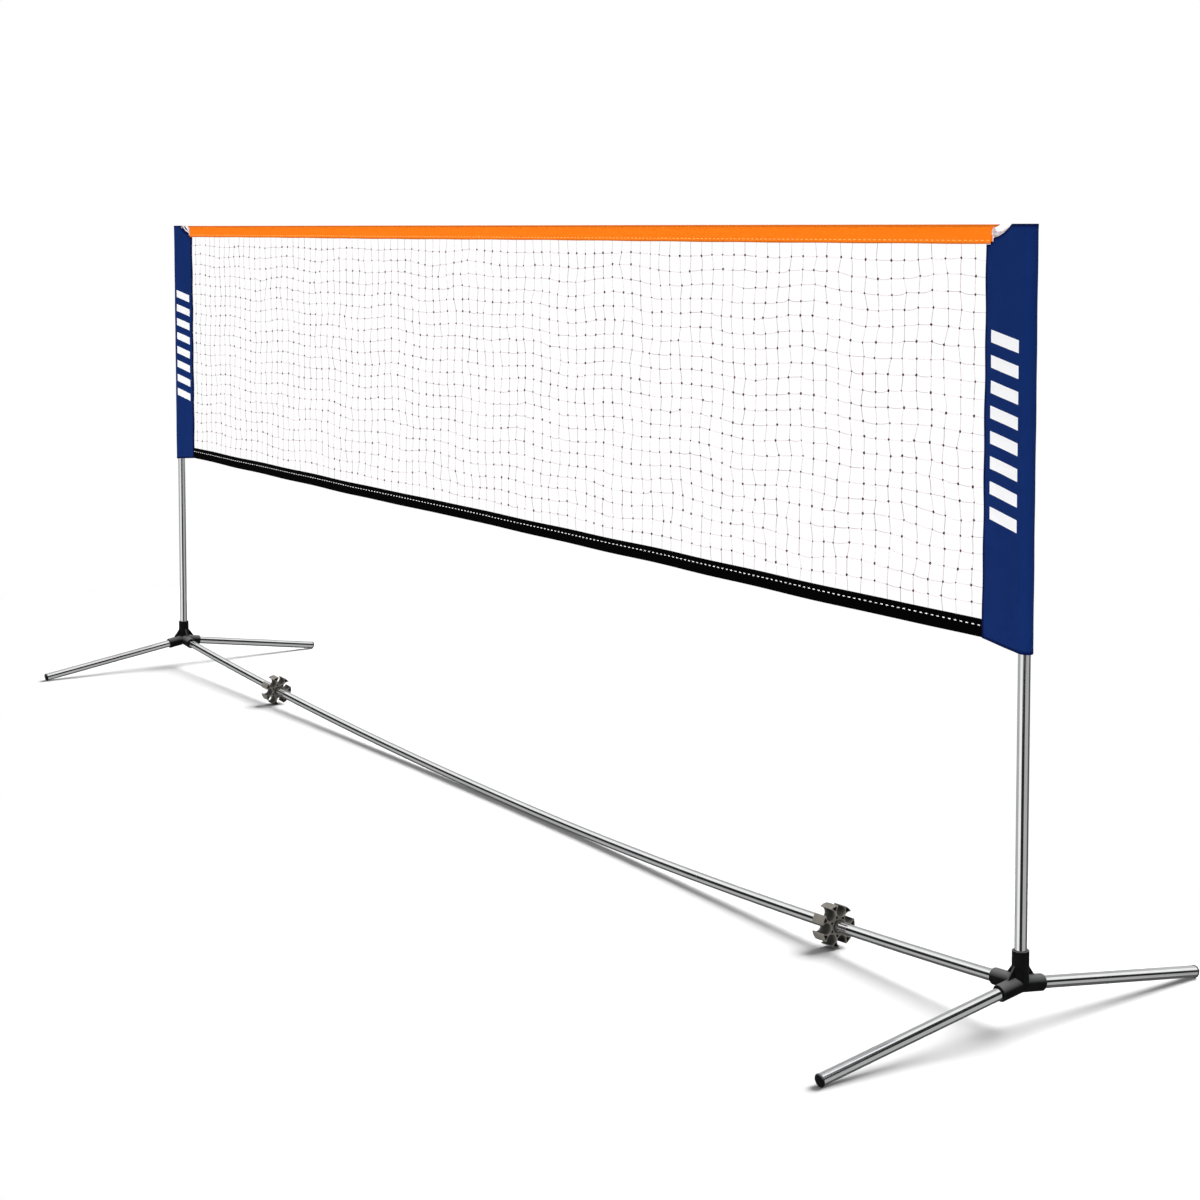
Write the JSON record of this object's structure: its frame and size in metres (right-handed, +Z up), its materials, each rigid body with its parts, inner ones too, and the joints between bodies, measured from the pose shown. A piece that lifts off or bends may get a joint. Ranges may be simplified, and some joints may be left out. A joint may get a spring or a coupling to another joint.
{
  "type": "badminton net set",
  "caption": "Portable net set: telescopic tube posts on sloping feet, joined by a bent ground bar with storage clips, and a taped mesh net on cloth post sleeves.",
  "frame": {"origin": "on the floor, midway between the posts, in their plane", "axes": "+X along the ground bar to the right post, +Y away from the side that faces the viewer, +Z up"},
  "size_m": [4.1336, 1.0096, 1.55],
  "materials": {
    "steel": "polished tube",
    "black_plastic": "moulded, satin",
    "clip_plastic": "moulded, satin",
    "navy_cloth": "woven polyester",
    "orange_tape": "coated tape",
    "black_tape": "woven tape",
    "net_cord": "knotted cord",
    "white_rope": "twisted rope"
  },
  "bodies": {
    "stand": {"left_connector": "black_plastic", "right_connector": "black_plastic", "left_front_foot": "steel", "left_back_foot": "steel", "right_front_foot": "steel", "right_back_foot": "steel", "left_front_foot_cap": "black_plastic", "left_back_foot_cap": "black_plastic", "right_front_foot_cap": "black_plastic", "right_back_foot_cap": "black_plastic", "left_lower_post": "steel", "right_lower_post": "steel", "left_lock_collet": "black_plastic", "right_lock_collet": "black_plastic", "crossbar_tube_1": "steel", "crossbar_tube_2": "steel", "crossbar_tube_3": "steel", "crossbar_tube_4": "steel", "crossbar_ferrule_1": "steel", "crossbar_ferrule_2": "steel", "crossbar_ferrule_3": "steel"},
    "left_upper": {"left_upper_post": "steel", "left_guide_plug": "black_plastic", "left_post_cap": "black_plastic", "left_sleeve": "navy_cloth", "net_mesh": "net_cord", "top_tape": "orange_tape", "bottom_tape": "black_tape", "headline_rope": "white_rope"},
    "right_upper": {"right_upper_post": "steel", "right_guide_plug": "black_plastic", "right_post_cap": "black_plastic", "right_sleeve": "navy_cloth"},
    "left_collar": {"left_lock_collar": "black_plastic"},
    "right_collar": {"right_lock_collar": "black_plastic"},
    "left_clip": {"left_storage_clip": "clip_plastic"},
    "right_clip": {"right_storage_clip": "clip_plastic"}
  },
  "joints": [
    {"name": "left_post_slide", "type": "slide", "parent": "stand", "child": "left_upper", "axis": [0, 0, 1], "range_m": [-0.7, 0], "deforming": ["left_sleeve", "bottom_tape", "net_mesh"]},
    {"name": "right_post_slide", "type": "slide", "parent": "stand", "child": "right_upper", "axis": [0, 0, 1], "range_m": [-0.7, 0], "deforming": ["right_sleeve"]},
    {"name": "left_lock_twist", "type": "hinge", "parent": "stand", "child": "left_collar", "pos_m": [-2.05, 0, 0.796], "axis": [0, 0, 1], "range_deg": [0, 90]},
    {"name": "right_lock_twist", "type": "hinge", "parent": "stand", "child": "right_collar", "pos_m": [2.05, 0, 0.796], "axis": [0, 0, 1], "range_deg": [0, 90]},
    {"name": "left_clip_turn", "type": "hinge", "parent": "stand", "child": "left_clip", "pos_m": [-1.29, 0, 0.04635], "axis": [0.999, 0, -0.0439], "continuous": true},
    {"name": "right_clip_turn", "type": "hinge", "parent": "stand", "child": "right_clip", "pos_m": [1.495, 0, 0.04862], "axis": [0.9983, 0, 0.0579], "continuous": true}
  ],
  "couplings": [
    {"joint": "right_post_slide", "follows": "left_post_slide", "ratio": 1}
  ]
}
